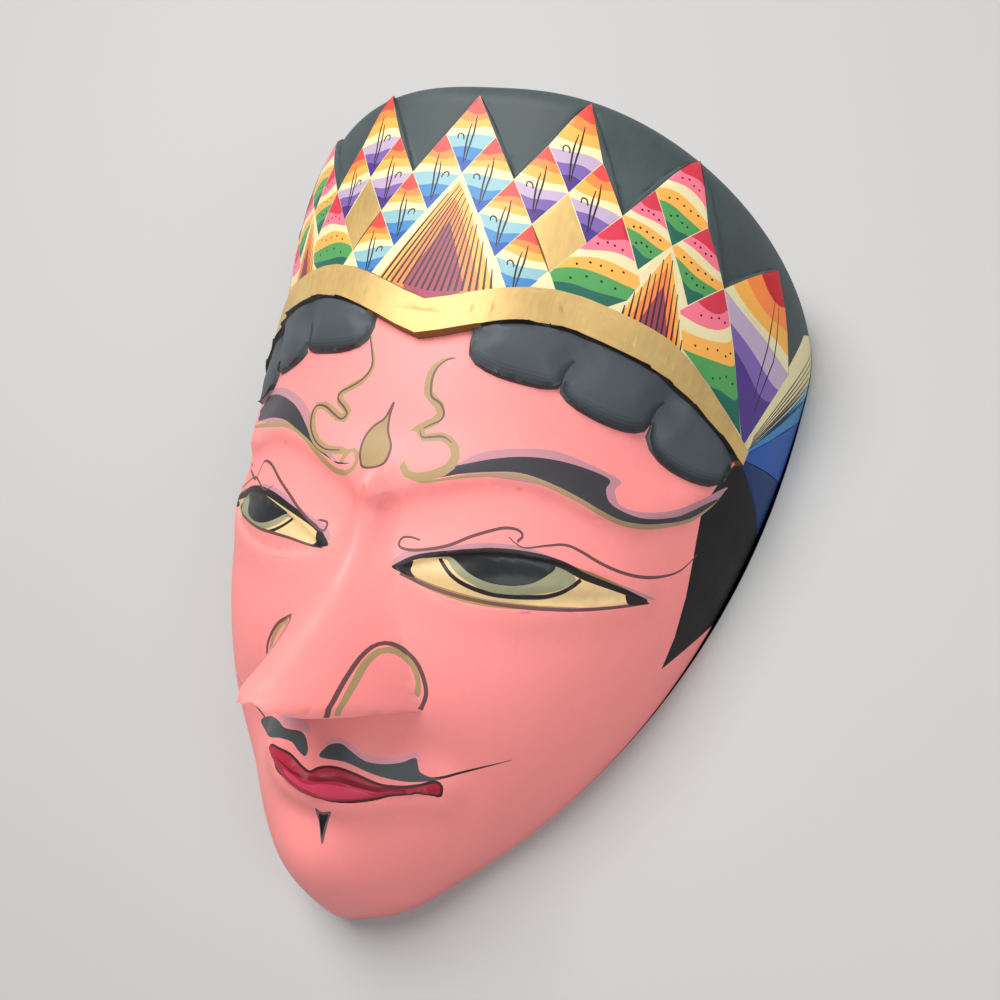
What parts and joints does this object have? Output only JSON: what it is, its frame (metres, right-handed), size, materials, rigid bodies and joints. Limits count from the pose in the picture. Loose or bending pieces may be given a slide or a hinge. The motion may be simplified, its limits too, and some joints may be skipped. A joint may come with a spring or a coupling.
{
  "type": "wall mask",
  "caption": "Carved and painted wooden face mask with a wedge nose, raised headband and pointed crown pattern, hollowed behind a flat rim.",
  "frame": {"origin": "middle of the mask's outline, on the flat back of the rim", "axes": "+Y from the chin to the crown, +Z out through the face, +X to the right as the face is looked at"},
  "size_m": [0.1514, 0.1993, 0.0804],
  "materials": {
    "painted_wood": "satin paint over carved light wood"
  },
  "bodies": {
    "root": {"carved_mask": "painted_wood"}
  },
  "joints": []
}
